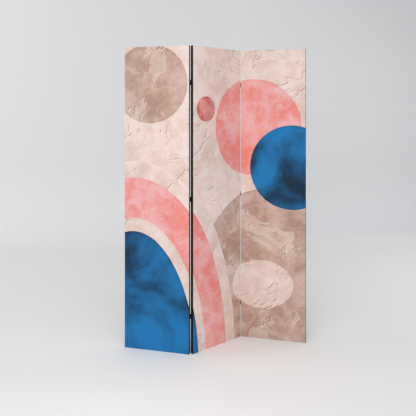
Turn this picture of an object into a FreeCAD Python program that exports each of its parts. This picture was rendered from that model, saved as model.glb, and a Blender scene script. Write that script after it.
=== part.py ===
# Three-panel folding room divider: canvas panels on beech-doweled pine stretchers, hinged in a zigzag.
# Each panel is drawn in its own frame: x across from its left edge, y from the picture to the back,
# z up from the floor. The three frames then stand in a row whose middle is the origin.
import FreeCAD, Part
import math
import os
import re
import Sketcher

# Every size that can be chosen by itself, in millimetres, and the fold in degrees
SIZES = {
    # One panel over its cloth, and the turn from each panel to the next
    "panel_height": 1800,
    "panel_width": 405,
    "panel_depth": 21.5,
    "fold_angle": 60,
    # Picture canvas, its hem on the back, and the cloth that closes the back
    "canvas_thickness": 0.5,
    "canvas_hem_width": 22,
    "back_cloth_thickness": 0.5,
    "back_cloth_margin": 3.5,
    # Stretcher laths: a flat lip under the canvas edge, then a bevel that falls away from the canvas
    "lath_width": 38,
    "lath_lip": 8,
    "lath_bevel": 2,
    # Dowels, two at each end of each rail
    "dowel_diameter": 6,
    "dowel_length": 30,
    "dowel_pitch": 20,
    "dowel_chamfer": 0.8,
    # Staples through back cloth and hem
    "staple_crown": 10,
    "staple_leg": 6,
    "staple_wire_thickness": 0.6,
    "staple_wire_width": 0.9,
    # Hinges, their leaves on the panels' side faces
    "hinge_height": 28,
    "hinge_end_distance": 216,
    "hinge_clearance": 0.2,
    "leaf_thickness": 0.6,
    "leaf_setback": 2,
    # Hinge pins, riveted over at both ends
    "pin_diameter": 1.2,
    "pin_bore_play": 0.1,
    "pin_head_diameter": 2.1,
    "pin_head_height": 0.5,
    "pin_head_chamfer": 0.2,
    # Countersunk hinge screws with a cross recess
    "screw_head_diameter": 3.4,
    "screw_shank_diameter": 2.2,
    "screw_length": 14,
    "screw_point_length": 3,
    "screw_spacing": 17,
    "recess_span": 2,
    "recess_width": 0.5,
    "recess_depth": 0.5,
}

# Place of the staple line across a lath, from its outer edge
STAPLE_LINE_SHARE = 0.25

# Counts
KNUCKLES = 5
STILE_STAPLES = 18
RAIL_STAPLES = 4
CROSS_RAILS = ("lower_cross_rail", "upper_cross_rail")

# Sizes that follow from the ones above
WOOD_FRONT = "canvas_thickness"
WOOD_BACK = "(panel_depth - back_cloth_thickness - canvas_thickness)"
WOOD_MIDDLE = f"(({WOOD_FRONT} + {WOOD_BACK}) / 2)"
HEM_BACK = "(panel_depth - back_cloth_thickness)"
STILE_INNER = "(canvas_thickness + lath_width)"
RAIL_LENGTH = f"(panel_width - 2 * {STILE_INNER})"
RAIL_MIDDLE = "(canvas_thickness + lath_width / 2)"
STAPLE_LINE = f"(canvas_thickness + lath_width * {STAPLE_LINE_SHARE})"
BORE_RADIUS = "((pin_diameter + pin_bore_play) / 2)"
KNUCKLE_RADIUS = f"({BORE_RADIUS} + leaf_thickness)"
KNUCKLE_PITCH = f"(hinge_height / {KNUCKLES})"
# The pins stand far enough behind a panel's face that the staples of two shut panels stay apart
PIN_STANDOFF = "(staple_wire_thickness + hinge_clearance)"
LEAF_DEPTH = "(panel_depth - leaf_setback)"
SCREW_LINE = f"({PIN_STANDOFF} + {LEAF_DEPTH} / 2)"

# Heights of the hinge middles above the floor
HINGE_LEVELS = {
    "bottom": "hinge_end_distance",
    "middle": "panel_height / 2",
    "top": "panel_height - hinge_end_distance",
}

doc = FreeCAD.newDocument("room_divider")
nodes = []


def fill_sheet():
    """Put the sizes into a sheet, one row each, with the name as the alias of its number."""
    table = doc.addObject("Spreadsheet::Sheet", "Sizes")
    for row, (name, number) in enumerate(SIZES.items(), start=1):
        table.set(f"A{row}", name)
        table.set(f"B{row}", str(number))
        table.setAlias(f"B{row}", name)
    doc.recompute()
    return table


sheet = fill_sheet()


def formula(text):
    """Point each size's name in a formula at its cell."""
    return re.sub(r"[a-z_]+", lambda word: f"Sizes.{word[0]}" if word[0] in SIZES else word[0], text)


def bind(thing, prop, text):
    """Tie a property to a formula of named sizes."""
    thing.setExpression(prop, formula(text))


def value(text):
    """Work a formula out, to start a sketch near its final shape."""
    return float(sheet.evalExpression(formula(text)))


def spot(x="0", y="0", z="0", axis="0; 0; 1", turn="0"):
    """Formula of a place: a shift by x, y, z and a turn in degrees about an axis."""
    return f"placement(vector({x}; {y}; {z}); rotation(vector({axis}); {turn}))"


def frame(name, place):
    """Add a named coordinate frame that others are placed in."""
    system = doc.addObject("App::LocalCoordinateSystem", name)
    bind(system, "Placement", place)
    return name


def node(thing, label, place):
    """Name a sub-part, put it in its place and list it for export."""
    thing.Label = label
    bind(thing, "Placement", place)
    nodes.append(thing)
    return thing


def copy_of(master, name, place=spot()):
    """Another one of the same solid, in another place."""
    link = doc.addObject("App::Link", name)
    link.LinkedObject = master
    bind(link, "Placement", place)
    return link


def group(name, members):
    """Separate solids handled as one."""
    compound = doc.addObject("Part::Compound", name)
    compound.Links = members
    return compound


def cut(name, base, tool):
    """Take a tool's solids out of a base."""
    result = doc.addObject("Part::Cut", name)
    result.Base = base
    result.Tool = tool
    return result


def new_sketch(body, name, plane, height="0"):
    """Empty sketch on one of the body's own origin planes, raised by a height."""
    sketch = body.newObject("Sketcher::SketchObject", name)
    support = [face for face in body.Origin.OriginFeatures if face.Role == plane][0]
    sketch.AttachmentSupport = [(support, "")]
    sketch.MapMode = "FlatFace"
    bind(sketch, "AttachmentOffset.Base.z", height)
    return sketch


def pin_point(sketch, line, end, x, y=None):
    """Tie one end of a sketch line to a point given by two formulas, or to an x alone."""
    for kind, place, axis in (("DistanceX", x, -2), ("DistanceY", y, -1)):
        if place is None:
            continue
        if place == "0":
            sketch.addConstraint(Sketcher.Constraint("PointOnObject", line, end, axis))
        else:
            rule = Sketcher.Constraint(kind, -1, 1, line, end, value(place))
            bind(sketch, f"Constraints[{sketch.addConstraint(rule)}]", place)


def outline(sketch, points):
    """Draw a closed outline of straight lines through points given by formulas."""
    spots = [FreeCAD.Vector(value(x), value(y), 0) for x, y in points]
    lines = [sketch.addGeometry(Part.LineSegment(*ends)) for ends in zip(spots, spots[1:] + spots[:1])]
    for line, following in zip(lines, lines[1:] + lines[:1]):
        sketch.addConstraint(Sketcher.Constraint("Coincident", line, 2, following, 1))
    for line, (x, y) in zip(lines, points):
        pin_point(sketch, line, 1, x, y)


def circle(sketch, x, y, radius):
    """Draw a circle round a point given by formulas."""
    middle = FreeCAD.Vector(value(x), value(y), 0)
    ring = sketch.addGeometry(Part.Circle(middle, FreeCAD.Vector(0, 0, 1), value(radius)))
    pin_point(sketch, ring, 3, x, y)
    rule = sketch.addConstraint(Sketcher.Constraint("Radius", ring, value(radius)))
    bind(sketch, f"Constraints[{rule}]", radius)


def pad(body, name, sketch, length, both_ways=False):
    """Raise a sketch into a solid, one way or half each way."""
    feature = body.newObject("PartDesign::Pad", name)
    feature.Profile = sketch
    feature.SideType = "Symmetric" if both_ways else "One side"
    bind(feature, "Length", length)
    return feature


def pocket(body, name, sketch, length, upward=True):
    """Sink a sketch into a body, along the sketch's normal or against it."""
    before = body.Shape.Volume
    feature = body.newObject("PartDesign::Pocket", name)
    feature.Profile = sketch
    feature.Reversed = upward
    bind(feature, "Length", length)
    doc.recompute()
    if body.Shape.Volume >= before:
        raise RuntimeError(f"{name} takes nothing away")
    return feature


def turned(name, half_profile):
    """Body turned about its z axis from half its profile, given as (radius, height) points."""
    body = doc.addObject("PartDesign::Body", name)
    sketch = new_sketch(body, f"{name}_half_profile", "XZ_Plane")
    outline(sketch, half_profile)
    feature = body.newObject("PartDesign::Revolution", f"{name}_turning")
    feature.Profile = sketch
    feature.ReferenceAxis = (sketch, ["V_Axis"])
    return body


def lath_blanks():
    """Left stile, bottom rail and cross rail before drilling, in a panel's frame."""
    stile = doc.addObject("PartDesign::Body", "stile_blank")
    profile = new_sketch(stile, "stile_profile", "XY_Plane", "canvas_thickness")
    outline(profile, [
        (WOOD_FRONT, WOOD_FRONT),
        (f"{WOOD_FRONT} + lath_lip", WOOD_FRONT),
        (STILE_INNER, f"{WOOD_FRONT} + lath_bevel"),
        (STILE_INNER, WOOD_BACK),
        (WOOD_FRONT, WOOD_BACK),
    ])
    pad(stile, "stile_length", profile, "panel_height - 2 * canvas_thickness")

    rail = doc.addObject("PartDesign::Body", "rail_blank")
    profile = new_sketch(rail, "rail_profile", "YZ_Plane", STILE_INNER)
    outline(profile, [
        (WOOD_FRONT, "canvas_thickness"),
        (WOOD_BACK, "canvas_thickness"),
        (WOOD_BACK, STILE_INNER),
        (f"{WOOD_FRONT} + lath_bevel", STILE_INNER),
        (WOOD_FRONT, "canvas_thickness + lath_lip"),
    ])
    pad(rail, "rail_length", profile, RAIL_LENGTH)

    cross_rail = doc.addObject("PartDesign::Body", "cross_rail_blank")
    profile = new_sketch(cross_rail, "cross_rail_profile", "YZ_Plane", STILE_INNER)
    outline(profile, [
        (f"{WOOD_FRONT} + lath_bevel", "-lath_width / 2"),
        (WOOD_BACK, "-lath_width / 2"),
        (WOOD_BACK, "lath_width / 2"),
        (f"{WOOD_FRONT} + lath_bevel", "lath_width / 2"),
    ])
    pad(cross_rail, "cross_rail_length", profile, RAIL_LENGTH)
    return stile, rail, cross_rail


def dowel_blank():
    """One dowel along z, chamfered at both ends."""
    radius = "dowel_diameter / 2"
    half = "dowel_length / 2"
    return turned("dowel", [
        ("0", f"-{half}"),
        (f"{radius} - dowel_chamfer", f"-{half}"),
        (radius, f"-{half} + dowel_chamfer"),
        (radius, f"{half} - dowel_chamfer"),
        (f"{radius} - dowel_chamfer", half),
        ("0", half),
    ])


def staple_blank():
    """One staple: its crown along x on the plane z = 0, its legs down."""
    body = doc.addObject("PartDesign::Body", "staple")
    profile = new_sketch(body, "staple_profile", "XZ_Plane")
    outer = "staple_crown / 2"
    inner = "staple_crown / 2 - staple_wire_thickness"
    outline(profile, [
        (f"-{outer}", "staple_wire_thickness"),
        (outer, "staple_wire_thickness"),
        (outer, "-staple_leg"),
        (inner, "-staple_leg"),
        (inner, "0"),
        (f"-({inner})", "0"),
        (f"-({inner})", "-staple_leg"),
        (f"-{outer}", "-staple_leg"),
    ])
    pad(body, "staple_width", profile, "staple_wire_width", both_ways=True)
    return body


def screw_blank():
    """One countersunk screw: the top of its head on z = 0, its point down."""
    head = "screw_head_diameter / 2"
    shank = "screw_shank_diameter / 2"
    body = turned("screw", [
        ("0", "0"),
        (head, "0"),
        (shank, f"{shank} - {head}"),
        (shank, "screw_point_length - screw_length"),
        ("0", "-screw_length"),
    ])
    doc.recompute()
    arm = "recess_width / 2"
    tip = "recess_span / 2"
    recess = new_sketch(body, "screw_recess_cross", "XY_Plane")
    outline(recess, [
        (arm, arm), (arm, tip), (f"-{arm}", tip), (f"-{arm}", arm), (f"-{tip}", arm), (f"-{tip}", f"-{arm}"),
        (f"-{arm}", f"-{arm}"), (f"-{arm}", f"-{tip}"), (arm, f"-{tip}"), (arm, f"-{arm}"), (tip, f"-{arm}"),
        (tip, arm),
    ])
    pocket(body, "screw_recess", recess, "recess_depth", upward=False)
    return body


def pin_blank():
    """One hinge pin along z with a chamfered head at each end."""
    head = "pin_head_diameter / 2"
    under_head = "hinge_height / 2"
    top = "(hinge_height / 2 + pin_head_height)"
    return turned("pin", [
        ("0", f"-{top}"),
        (f"{head} - pin_head_chamfer", f"-{top}"),
        (head, f"-{top} + pin_head_chamfer"),
        (head, f"-{under_head}"),
        ("pin_diameter / 2", f"-{under_head}"),
        ("pin_diameter / 2", under_head),
        (head, under_head),
        (head, f"{top} - pin_head_chamfer"),
        (f"{head} - pin_head_chamfer", top),
        ("0", top),
    ])


def leaf_profile(body, side):
    """Section of a leaf rolled round its pin: side -1 is the leaf left of the pin, 1 the one right."""
    sketch = new_sketch(body, f"{body.Name}_profile", "XY_Plane", "-hinge_height / 2")
    outer = f"{side} * {KNUCKLE_RADIUS}"
    inner = f"{side} * ({KNUCKLE_RADIUS} - leaf_thickness)"
    foot = f"-{PIN_STANDOFF} - {LEAF_DEPTH}"
    crook = f"-sqrt(({KNUCKLE_RADIUS}) ^ 2 - ({KNUCKLE_RADIUS} - leaf_thickness) ^ 2)"
    corners = [(inner, crook), (inner, foot), (outer, foot), (outer, "0")]
    spots = [FreeCAD.Vector(value(x), value(y), 0) for x, y in corners]
    lines = [sketch.addGeometry(Part.LineSegment(*ends)) for ends in zip(spots, spots[1:])]
    crook_angle = math.atan2(spots[0].y, spots[0].x)
    ends = (0, crook_angle + math.tau) if side == 1 else (crook_angle, math.pi)
    rim = Part.Circle(FreeCAD.Vector(0, 0, 0), FreeCAD.Vector(0, 0, 1), value(KNUCKLE_RADIUS))
    roll = sketch.addGeometry(Part.ArcOfCircle(rim, *ends))
    for line, following in zip(lines, lines[1:]):
        sketch.addConstraint(Sketcher.Constraint("Coincident", line, 2, following, 1))
    start, end = (1, 2) if side == 1 else (2, 1)
    sketch.addConstraint(Sketcher.Constraint("Coincident", roll, 3, -1, 1))
    sketch.addConstraint(Sketcher.Constraint("Coincident", lines[2], 2, roll, start))
    sketch.addConstraint(Sketcher.Constraint("Coincident", roll, end, lines[0], 1))
    pin_point(sketch, lines[0], 1, inner)
    pin_point(sketch, lines[1], 1, inner, foot)
    pin_point(sketch, lines[2], 1, outer, foot)
    pin_point(sketch, lines[2], 2, outer, "0")
    circle(sketch, "0", "0", BORE_RADIUS)
    return sketch


def leaf_blank(name, side, first_notch, notches):
    """One hinge leaf round the pin's axis: rolled strip, notches for the other leaf's knuckles, screw holes."""
    body = doc.addObject("PartDesign::Body", name)
    pad(body, f"{name}_roll", leaf_profile(body, side), "hinge_height")
    doc.recompute()

    bottom = f"-hinge_height / 2 + {first_notch} * {KNUCKLE_PITCH} - hinge_clearance / 2"
    notch = new_sketch(body, f"{name}_notch", "XY_Plane", bottom)
    circle(notch, "0", "0", f"{KNUCKLE_RADIUS} + hinge_clearance")
    first = pocket(body, f"{name}_first_notch", notch, f"{KNUCKLE_PITCH} + hinge_clearance")
    row = body.newObject("PartDesign::LinearPattern", f"{name}_notches")
    row.Originals = [first]
    row.Direction = ([axis for axis in body.Origin.OriginFeatures if axis.Role == "Z_Axis"][0], [""])
    row.Mode = "Spacing"
    bind(row, "Offset", f"2 * {KNUCKLE_PITCH}")
    row.Occurrences = notches
    body.Tip = row
    doc.recompute()

    face = f"{side} * ({KNUCKLE_RADIUS} - leaf_thickness)"
    centres = new_sketch(body, f"{name}_hole_centres", "YZ_Plane", face)
    for height in ("-screw_spacing / 2", "screw_spacing / 2"):
        circle(centres, f"-{SCREW_LINE}", height, "screw_shank_diameter / 2")
    doc.recompute()
    before = body.Shape.Volume
    holes = body.newObject("PartDesign::Hole", f"{name}_screw_holes")
    holes.Profile = centres
    holes.Reversed = side == 1
    holes.ThreadType = "None"
    holes.DepthType = "ThroughAll"
    holes.HoleCutType = "Countersink"
    holes.HoleCutCustomValues = True
    bind(holes, "Diameter", "screw_shank_diameter")
    bind(holes, "HoleCutDiameter", "screw_head_diameter")
    holes.HoleCutCountersinkAngle = 90
    body.Tip = holes
    doc.recompute()
    if body.Shape.Volume >= before:
        raise RuntimeError(f"{name} has no screw holes")
    return body


def wrap_blanks():
    """The canvas edges that turn round the laths and lie on their backs, in a panel's frame."""
    tall = doc.addObject("PartDesign::Body", "tall_wrap_blank")
    profile = new_sketch(tall, "tall_wrap_profile", "XY_Plane")
    outline(profile, [
        ("0", WOOD_FRONT),
        ("canvas_thickness", WOOD_FRONT),
        ("canvas_thickness", WOOD_BACK),
        ("canvas_hem_width", WOOD_BACK),
        ("canvas_hem_width", HEM_BACK),
        ("0", HEM_BACK),
    ])
    pad(tall, "tall_wrap_length", profile, "panel_height")

    wide = doc.addObject("PartDesign::Body", "wide_wrap_blank")
    edge = new_sketch(wide, "wide_wrap_edge_profile", "YZ_Plane", "canvas_thickness")
    outline(edge, [
        (WOOD_FRONT, "0"), (HEM_BACK, "0"), (HEM_BACK, "canvas_thickness"), (WOOD_FRONT, "canvas_thickness"),
    ])
    pad(wide, "wide_wrap_edge", edge, "panel_width - 2 * canvas_thickness")
    doc.recompute()
    hem = new_sketch(wide, "wide_wrap_hem_profile", "YZ_Plane", "canvas_hem_width")
    outline(hem, [
        (WOOD_BACK, "0"), (HEM_BACK, "0"), (HEM_BACK, "canvas_hem_width"), (WOOD_BACK, "canvas_hem_width"),
    ])
    pad(wide, "wide_wrap_hem", hem, "panel_width - 2 * canvas_hem_width")
    return tall, wide


def flat_cloth(name, margin, front, thickness):
    """A sheet of cloth parallel to the picture, a margin inside the panel's edges, in a panel's frame."""
    cloth = doc.addObject("Part::Box", name)
    bind(cloth, "Length", f"panel_width - 2 * {margin}")
    bind(cloth, "Width", thickness)
    bind(cloth, "Height", f"panel_height - 2 * {margin}")
    bind(cloth, "Placement", spot(margin, front, margin))
    return group(f"{name}_in_frame", [cloth])


def panel_frames():
    """Frames of the three panels and their two folds, the middle panel centred on the origin."""
    turn = "fold_angle * 1deg"
    frame("row", spot(turn=f"{turn} - atan(sin({turn}) / (2 + cos({turn})))"))
    frame("centre_panel", "row.Placement * " + spot("-panel_width / 2", "-panel_depth / 2"))
    outer_edge = f"panel_width + {KNUCKLE_RADIUS}"
    behind = f"panel_depth + {PIN_STANDOFF}"
    frame("left_fold", "centre_panel.Placement * " + spot(f"-{KNUCKLE_RADIUS}", behind))
    frame("right_fold", "centre_panel.Placement * " + spot(outer_edge, f"-{PIN_STANDOFF}"))
    frame("left_panel", "left_fold.Placement * " + spot(turn=f"-{turn}") + " * "
          + spot(f"-({outer_edge})", f"-({behind})"))
    frame("right_panel", "right_fold.Placement * " + spot(turn=f"-{turn}") + " * "
          + spot(KNUCKLE_RADIUS, PIN_STANDOFF))


# Which side of which panel carries which leaf: the fold, the pin's place in the panel, its turn
LEFT_EDGE = f"-{KNUCKLE_RADIUS}"
RIGHT_EDGE = f"panel_width + {KNUCKLE_RADIUS}"
AT_BACK = f"panel_depth + {PIN_STANDOFF}"
AT_FRONT = f"-{PIN_STANDOFF}"
HINGED_SIDES = {
    "left_panel_hinge_screws": ("left_panel", "left_fold", "outer", RIGHT_EDGE, AT_BACK, 0),
    "centre_panel_left_hinge_screws": ("centre_panel", "left_fold", "inner", LEFT_EDGE, AT_BACK, 0),
    "centre_panel_right_hinge_screws": ("centre_panel", "right_fold", "inner", RIGHT_EDGE, AT_FRONT, 180),
    "right_panel_hinge_screws": ("right_panel", "right_fold", "outer", LEFT_EDGE, AT_FRONT, 180),
}
LEAF_SIDE = {"outer": -1, "inner": 1}


def hinges(leaves, pin, screw):
    """Leaves, pins and screws of both folds. Returns each panel's screws in the panel's own frame."""
    panel_screws = {"left_panel": [], "centre_panel": [], "right_panel": []}
    for label, (panel, fold, kind, x, y, turn) in HINGED_SIDES.items():
        side = LEAF_SIDE[kind]
        screws = []
        for level, height in HINGE_LEVELS.items():
            hinge = spot(x, y, height, turn=turn)
            leaf = copy_of(leaves[kind], f"{fold}_{level}_{kind}_leaf")
            node(leaf, f"{fold}_{level}_hinge_{kind}_leaf", f"{panel}.Placement * {hinge}")
            if kind == "inner":
                node(copy_of(pin, f"{fold}_{level}_pin"), f"{fold}_{level}_hinge_pin", f"{panel}.Placement * {hinge}")
            for end, rise in (("lower", "-screw_spacing / 2"), ("upper", "screw_spacing / 2")):
                face = f"{side} * ({KNUCKLE_RADIUS} - leaf_thickness)"
                seat = spot(face, f"-{SCREW_LINE}", rise, axis="0; 1; 0", turn=-side * 90)
                screws.append(copy_of(screw, f"{fold}_{level}_{kind}_{end}_screw", f"{hinge} * {seat}"))
        node(group(f"{label}_group", screws), label, f"{panel}.Placement")
        panel_screws[panel] += screws
    return panel_screws


def dowel_copies(dowel):
    """Two dowels across each end of each rail, in a panel's frame."""
    rails = [RAIL_MIDDLE, f"panel_height - {RAIL_MIDDLE}"]
    rails += [f"panel_height * {place} / {len(CROSS_RAILS) + 1}" for place in range(1, len(CROSS_RAILS) + 1)]
    ends = [STILE_INNER, f"panel_width - {STILE_INNER}"]
    shifts = ["dowel_pitch / 2", "-dowel_pitch / 2"]
    places = [(x, f"{z} + {shift}") for z in rails for x in ends for shift in shifts]
    return [
        copy_of(dowel, f"dowel_{count}", spot(x, WOOD_MIDDLE, z, axis="0; 1; 0", turn=90))
        for count, (x, z) in enumerate(places, start=1)
    ]


def staple_copies(staple):
    """A row of staples down each stile and along the top and bottom rail, in a panel's frame."""
    places = []
    for count in range(STILE_STAPLES):
        height = f"panel_height * {2 * count + 1} / {2 * STILE_STAPLES}"
        for x in (STAPLE_LINE, f"panel_width - {STAPLE_LINE}"):
            places.append(spot(x, "panel_depth", height) + " * " + spot(axis="0; 1; 0", turn=90))
    first = "(lath_width + dowel_length / 2 + staple_crown)"
    for count in range(RAIL_STAPLES):
        x = f"{first} + (panel_width - 2 * {first}) * {count} / {RAIL_STAPLES - 1}"
        for z in (STAPLE_LINE, f"panel_height - {STAPLE_LINE}"):
            places.append(spot(x, "panel_depth", z))
    upright = spot(axis="1; 0; 0", turn=-90)
    return [
        copy_of(staple, f"staple_{count}", f"{place} * {upright}") for count, place in enumerate(places, start=1)
    ]


def build_panel(panel, stiles, rails, wraps, groups, screws):
    """One panel: stiles and wraps bored for its screws, and what is alike in all the panels."""
    here = f"{panel}.Placement"
    drill = group(f"{panel}_drilling", groups["dowels"] + screws)
    for name, blank in stiles.items():
        node(cut(f"{panel}_{name}_drilled", blank, drill), f"{panel}_{name}", here)
    node(cut(f"{panel}_wraps_pierced", wraps, drill), f"{panel}_canvas_wraps", here)
    for name, rail in rails.items():
        node(copy_of(rail, f"{panel}_{name}_copy"), f"{panel}_{name}", here)
    for name, members in groups.items():
        node(group(f"{panel}_{name}_group", members), f"{panel}_{name}", here)


def build():
    """The whole divider."""
    panel_frames()
    turned_over = spot("panel_width", "0", "panel_height", axis="0; 1; 0", turn=180)

    stile, rail, cross_rail = lath_blanks()
    tall_wrap, wide_wrap = wrap_blanks()
    dowel = dowel_blank()
    staple = staple_blank()
    screw = screw_blank()
    pin = pin_blank()
    leaves = {
        "outer": leaf_blank("outer_leaf", LEAF_SIDE["outer"], 1, KNUCKLES // 2),
        "inner": leaf_blank("inner_leaf", LEAF_SIDE["inner"], 0, KNUCKLES // 2 + 1),
    }

    groups = {
        "dowels": dowel_copies(dowel),
        "staples": staple_copies(staple),
        "picture_canvas": [flat_cloth("picture_sheet", "0", "0", "canvas_thickness")],
        "back_cloth": [flat_cloth("back_sheet", "back_cloth_margin", HEM_BACK, "back_cloth_thickness")],
    }
    stiles = {"left_stile": stile, "right_stile": copy_of(stile, "right_stile_blank", turned_over)}
    blanks = {"bottom_rail": rail, "top_rail": copy_of(rail, "top_rail_blank", turned_over)}
    for place, name in enumerate(CROSS_RAILS, start=1):
        height = f"panel_height * {place} / {len(CROSS_RAILS) + 1}"
        blanks[name] = copy_of(cross_rail, f"{name}_blank", spot(z=height))
    dowel_holes = group("dowel_holes", groups["dowels"])
    rails = {name: cut(f"{name}_drilled", blank, dowel_holes) for name, blank in blanks.items()}
    wraps = group("wrap_blanks", [
        tall_wrap,
        wide_wrap,
        copy_of(tall_wrap, "right_wrap_blank", turned_over),
        copy_of(wide_wrap, "top_wrap_blank", turned_over),
    ])

    for panel, screws in hinges(leaves, pin, screw).items():
        build_panel(panel, stiles, rails, wraps, groups, screws)
    doc.recompute()


def check():
    """Stop unless every object was made and every sub-part is a sound solid."""
    for thing in doc.Objects:
        if {"Invalid", "Error"} & set(thing.State):
            raise RuntimeError(f"{thing.Label} could not be made: {thing.State}")
    for thing in nodes:
        shape = thing.Shape
        if shape.isNull() or not shape.isValid() or not shape.Solids:
            raise RuntimeError(f"{thing.Label} is not a sound solid")


def export():
    """Write each sub-part under its own name."""
    os.makedirs("parts", exist_ok=True)
    whole = FreeCAD.BoundBox()
    for thing in nodes:
        shape = thing.Shape
        shape.exportStep(f"parts/{thing.Label}.step")
        whole.add(shape.BoundBox)
        print(f"{thing.Label}: {len(shape.Solids)} solids, {shape.Volume:.1f} mm3")
    print(f"{len(nodes)} sub-parts, {whole.XLength:.2f} x {whole.YLength:.2f} x {whole.ZLength:.2f} mm")
    print(f"middle at x {whole.Center.x:.3f}, y {whole.Center.y:.3f}, lowest z {whole.ZMin:.3f}")


build()
check()
export()
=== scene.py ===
"""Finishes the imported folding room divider: canvases, back cloths, staples, timber, hinges and studio."""

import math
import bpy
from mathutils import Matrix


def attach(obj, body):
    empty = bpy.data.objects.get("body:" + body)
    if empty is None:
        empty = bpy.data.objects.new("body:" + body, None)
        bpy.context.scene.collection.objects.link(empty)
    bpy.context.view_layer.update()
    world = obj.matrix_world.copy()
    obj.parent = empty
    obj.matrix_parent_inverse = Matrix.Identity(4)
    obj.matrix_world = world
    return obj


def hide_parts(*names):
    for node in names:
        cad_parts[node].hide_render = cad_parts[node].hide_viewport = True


bl_info = {
    "name": "Folding Room Divider",
    "version": (1, 0, 0),
    "blender": (4, 5, 0),
    "location": "View3D > Sidebar > Divider",
    "description": "Stretches cloth over three hinged panels and sets them in a pale studio",
    "category": "Object",
}

import bmesh
import bpy
import numpy as np
from bpy.props import FloatProperty, FloatVectorProperty, IntProperty, PointerProperty
from mathutils import Matrix, Vector

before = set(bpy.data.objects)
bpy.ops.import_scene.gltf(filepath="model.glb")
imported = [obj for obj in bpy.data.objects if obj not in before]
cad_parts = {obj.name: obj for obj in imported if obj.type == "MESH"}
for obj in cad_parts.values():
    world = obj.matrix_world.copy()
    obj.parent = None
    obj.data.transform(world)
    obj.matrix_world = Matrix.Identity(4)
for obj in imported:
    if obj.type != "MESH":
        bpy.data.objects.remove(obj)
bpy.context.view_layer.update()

MM = 0.001
PANELS = ("left_panel", "centre_panel", "right_panel")
STILES = ("left_stile", "right_stile")
END_RAILS = ("top_rail", "bottom_rail")
CROSS_RAILS = ("upper_cross_rail", "lower_cross_rail")
PRINT_MAP = "print"
# Depth that the CAD keeps for the back cloth, behind the hem of the canvas
CLOTH_ROOM = 0.5 * MM


def nodes_of(panel, kinds):
    """Names of a panel's CAD nodes of the given kinds."""
    return [f"{panel}_{kind}" for kind in kinds]


def linear(code):
    """Turn an sRGB hex colour such as #1a2b3c into linear red, green and blue."""
    shares = [int(code[i:i + 2], 16) / 255 for i in (1, 3, 5)]
    return tuple(s / 12.92 if s <= 0.04045 else ((s + 0.055) / 1.055) ** 2.4 for s in shares)


def length(name, description, default):
    """Property for a size in metres, its default given in millimetres."""
    return FloatProperty(name=name, description=description, default=default * MM, min=0.0,
                         subtype="DISTANCE", unit="LENGTH", precision=5)


def colour(name, description, code):
    """Property for a colour, its default given as sRGB hex."""
    return FloatVectorProperty(name=name, description=description, default=linear(code),
                               subtype="COLOR", size=3, min=0.0, max=1.0)


def power(name, description, default):
    """Property for a lamp's power in watts."""
    return FloatProperty(name=name, description=description, default=default, min=0.0,
                         subtype="POWER", unit="POWER")


class DividerCanvas(bpy.types.PropertyGroup):
    """Picture canvas: one cloth a panel, turned round the frame and hemmed on its back."""

    thickness: length("Thickness", "Thickness of the primed cotton canvas", 0.5)
    fold_radius: length("Fold radius", "Outer radius of the canvas where it turns over a lath", 0.8)
    hem: length("Hem", "Width of the canvas on the back of the laths, from the panel's edge", 22)
    hollow: length("Hollow", "How far the middle of the stretched front stands back from its edges", 0.8)
    scallop: length("Scallop", "Height of the pull marks along the edges", 0.12)
    step: length("Grid step", "Distance between the lines of the cloth's mesh", 10)
    thread: length("Thread pitch", "Two threads of the weave, side by side", 2.4)
    cream: colour("Cream", "Lightest plaster tone of the print", "#e8d5cc")
    blush: colour("Blush", "Second plaster tone of the print", "#d8bcb1")
    taupe: colour("Taupe", "Light clay tone of the print", "#cdb0a4")
    clay: colour("Clay", "Dark clay tone of the print", "#ad8b7b")
    pink: colour("Pink", "Light coral tone of the print", "#e9b1b1")
    coral: colour("Coral", "Strong coral tone of the print", "#e6867d")
    blue: colour("Blue", "Light tone of the deep blue in the print", "#1775b2")
    navy: colour("Navy", "Dark tone of the deep blue in the print", "#06283f")
    rose: colour("Rose", "Darkest red tone of the print", "#b4504f")
    shaded: colour("Shaded rim", "Tint of a flake's rim on its shaded side", "#80695f")
    lit: colour("Lit rim", "Tint of a flake's rim on its lit side", "#fff6f0")
    cracked: colour("Crack", "Tint of the hairline cracks", "#6d5750")
    edge: colour("Edge black", "Black of the canvas on the panel's sides", "#0c0c0d")
    dust: colour("Dust", "Black of the panel's sides where they are dusty", "#1c1b1c")


class DividerBackCloth(bpy.types.PropertyGroup):
    """Cloth that closes the back of each panel."""

    thickness: length("Thickness", "Thickness of one layer of the spunbonded cloth", 0.2)
    turned_under: length("Turned under", "Width of the edge that is folded under the cloth", 12)
    dip: length("Dip", "How far the cloth sinks between the laths", 2.0)
    pucker: length("Pucker", "Height of the swells between the staples", 0.2)
    step: length("Grid step", "Distance between the lines of the cloth's mesh", 10)
    bond_pitch: length("Bond pitch", "Distance between the pressed points of the cloth", 4)
    black: colour("Black", "Colour of the cloth", "#232326")
    cloud: colour("Cloud", "Colour of the cloth where its fibres lie thick", "#37373a")


class DividerStaples(bpy.types.PropertyGroup):
    """Staples through the back cloth and the hem."""

    crown: length("Crown", "Width of a staple over its legs", 10)
    leg: length("Leg", "Length of a staple's legs", 6)
    wire_thickness: length("Wire thickness", "Thickness of the flattened wire", 0.6)
    wire_width: length("Wire width", "Width of the flattened wire", 0.9)
    corner_radius: length("Corner radius", "Bend between crown and leg", 0.7)
    edge_distance: length("Edge distance", "From the panel's edge to the row of staples", 10)
    end_distance: length("End distance", "From the panel's side to the first staple of a rail", 63)
    stile_count: IntProperty(name="Stile staples", description="Staples in a stile's row", default=18, min=2)
    rail_count: IntProperty(name="Rail staples", description="Staples in a rail's row", default=4, min=2)
    zinc: colour("Zinc", "Colour of the galvanised wire", "#c9cac8")
    bloom: colour("Bloom", "Colour of the wire under its dull zinc bloom", "#8e9190")


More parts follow.
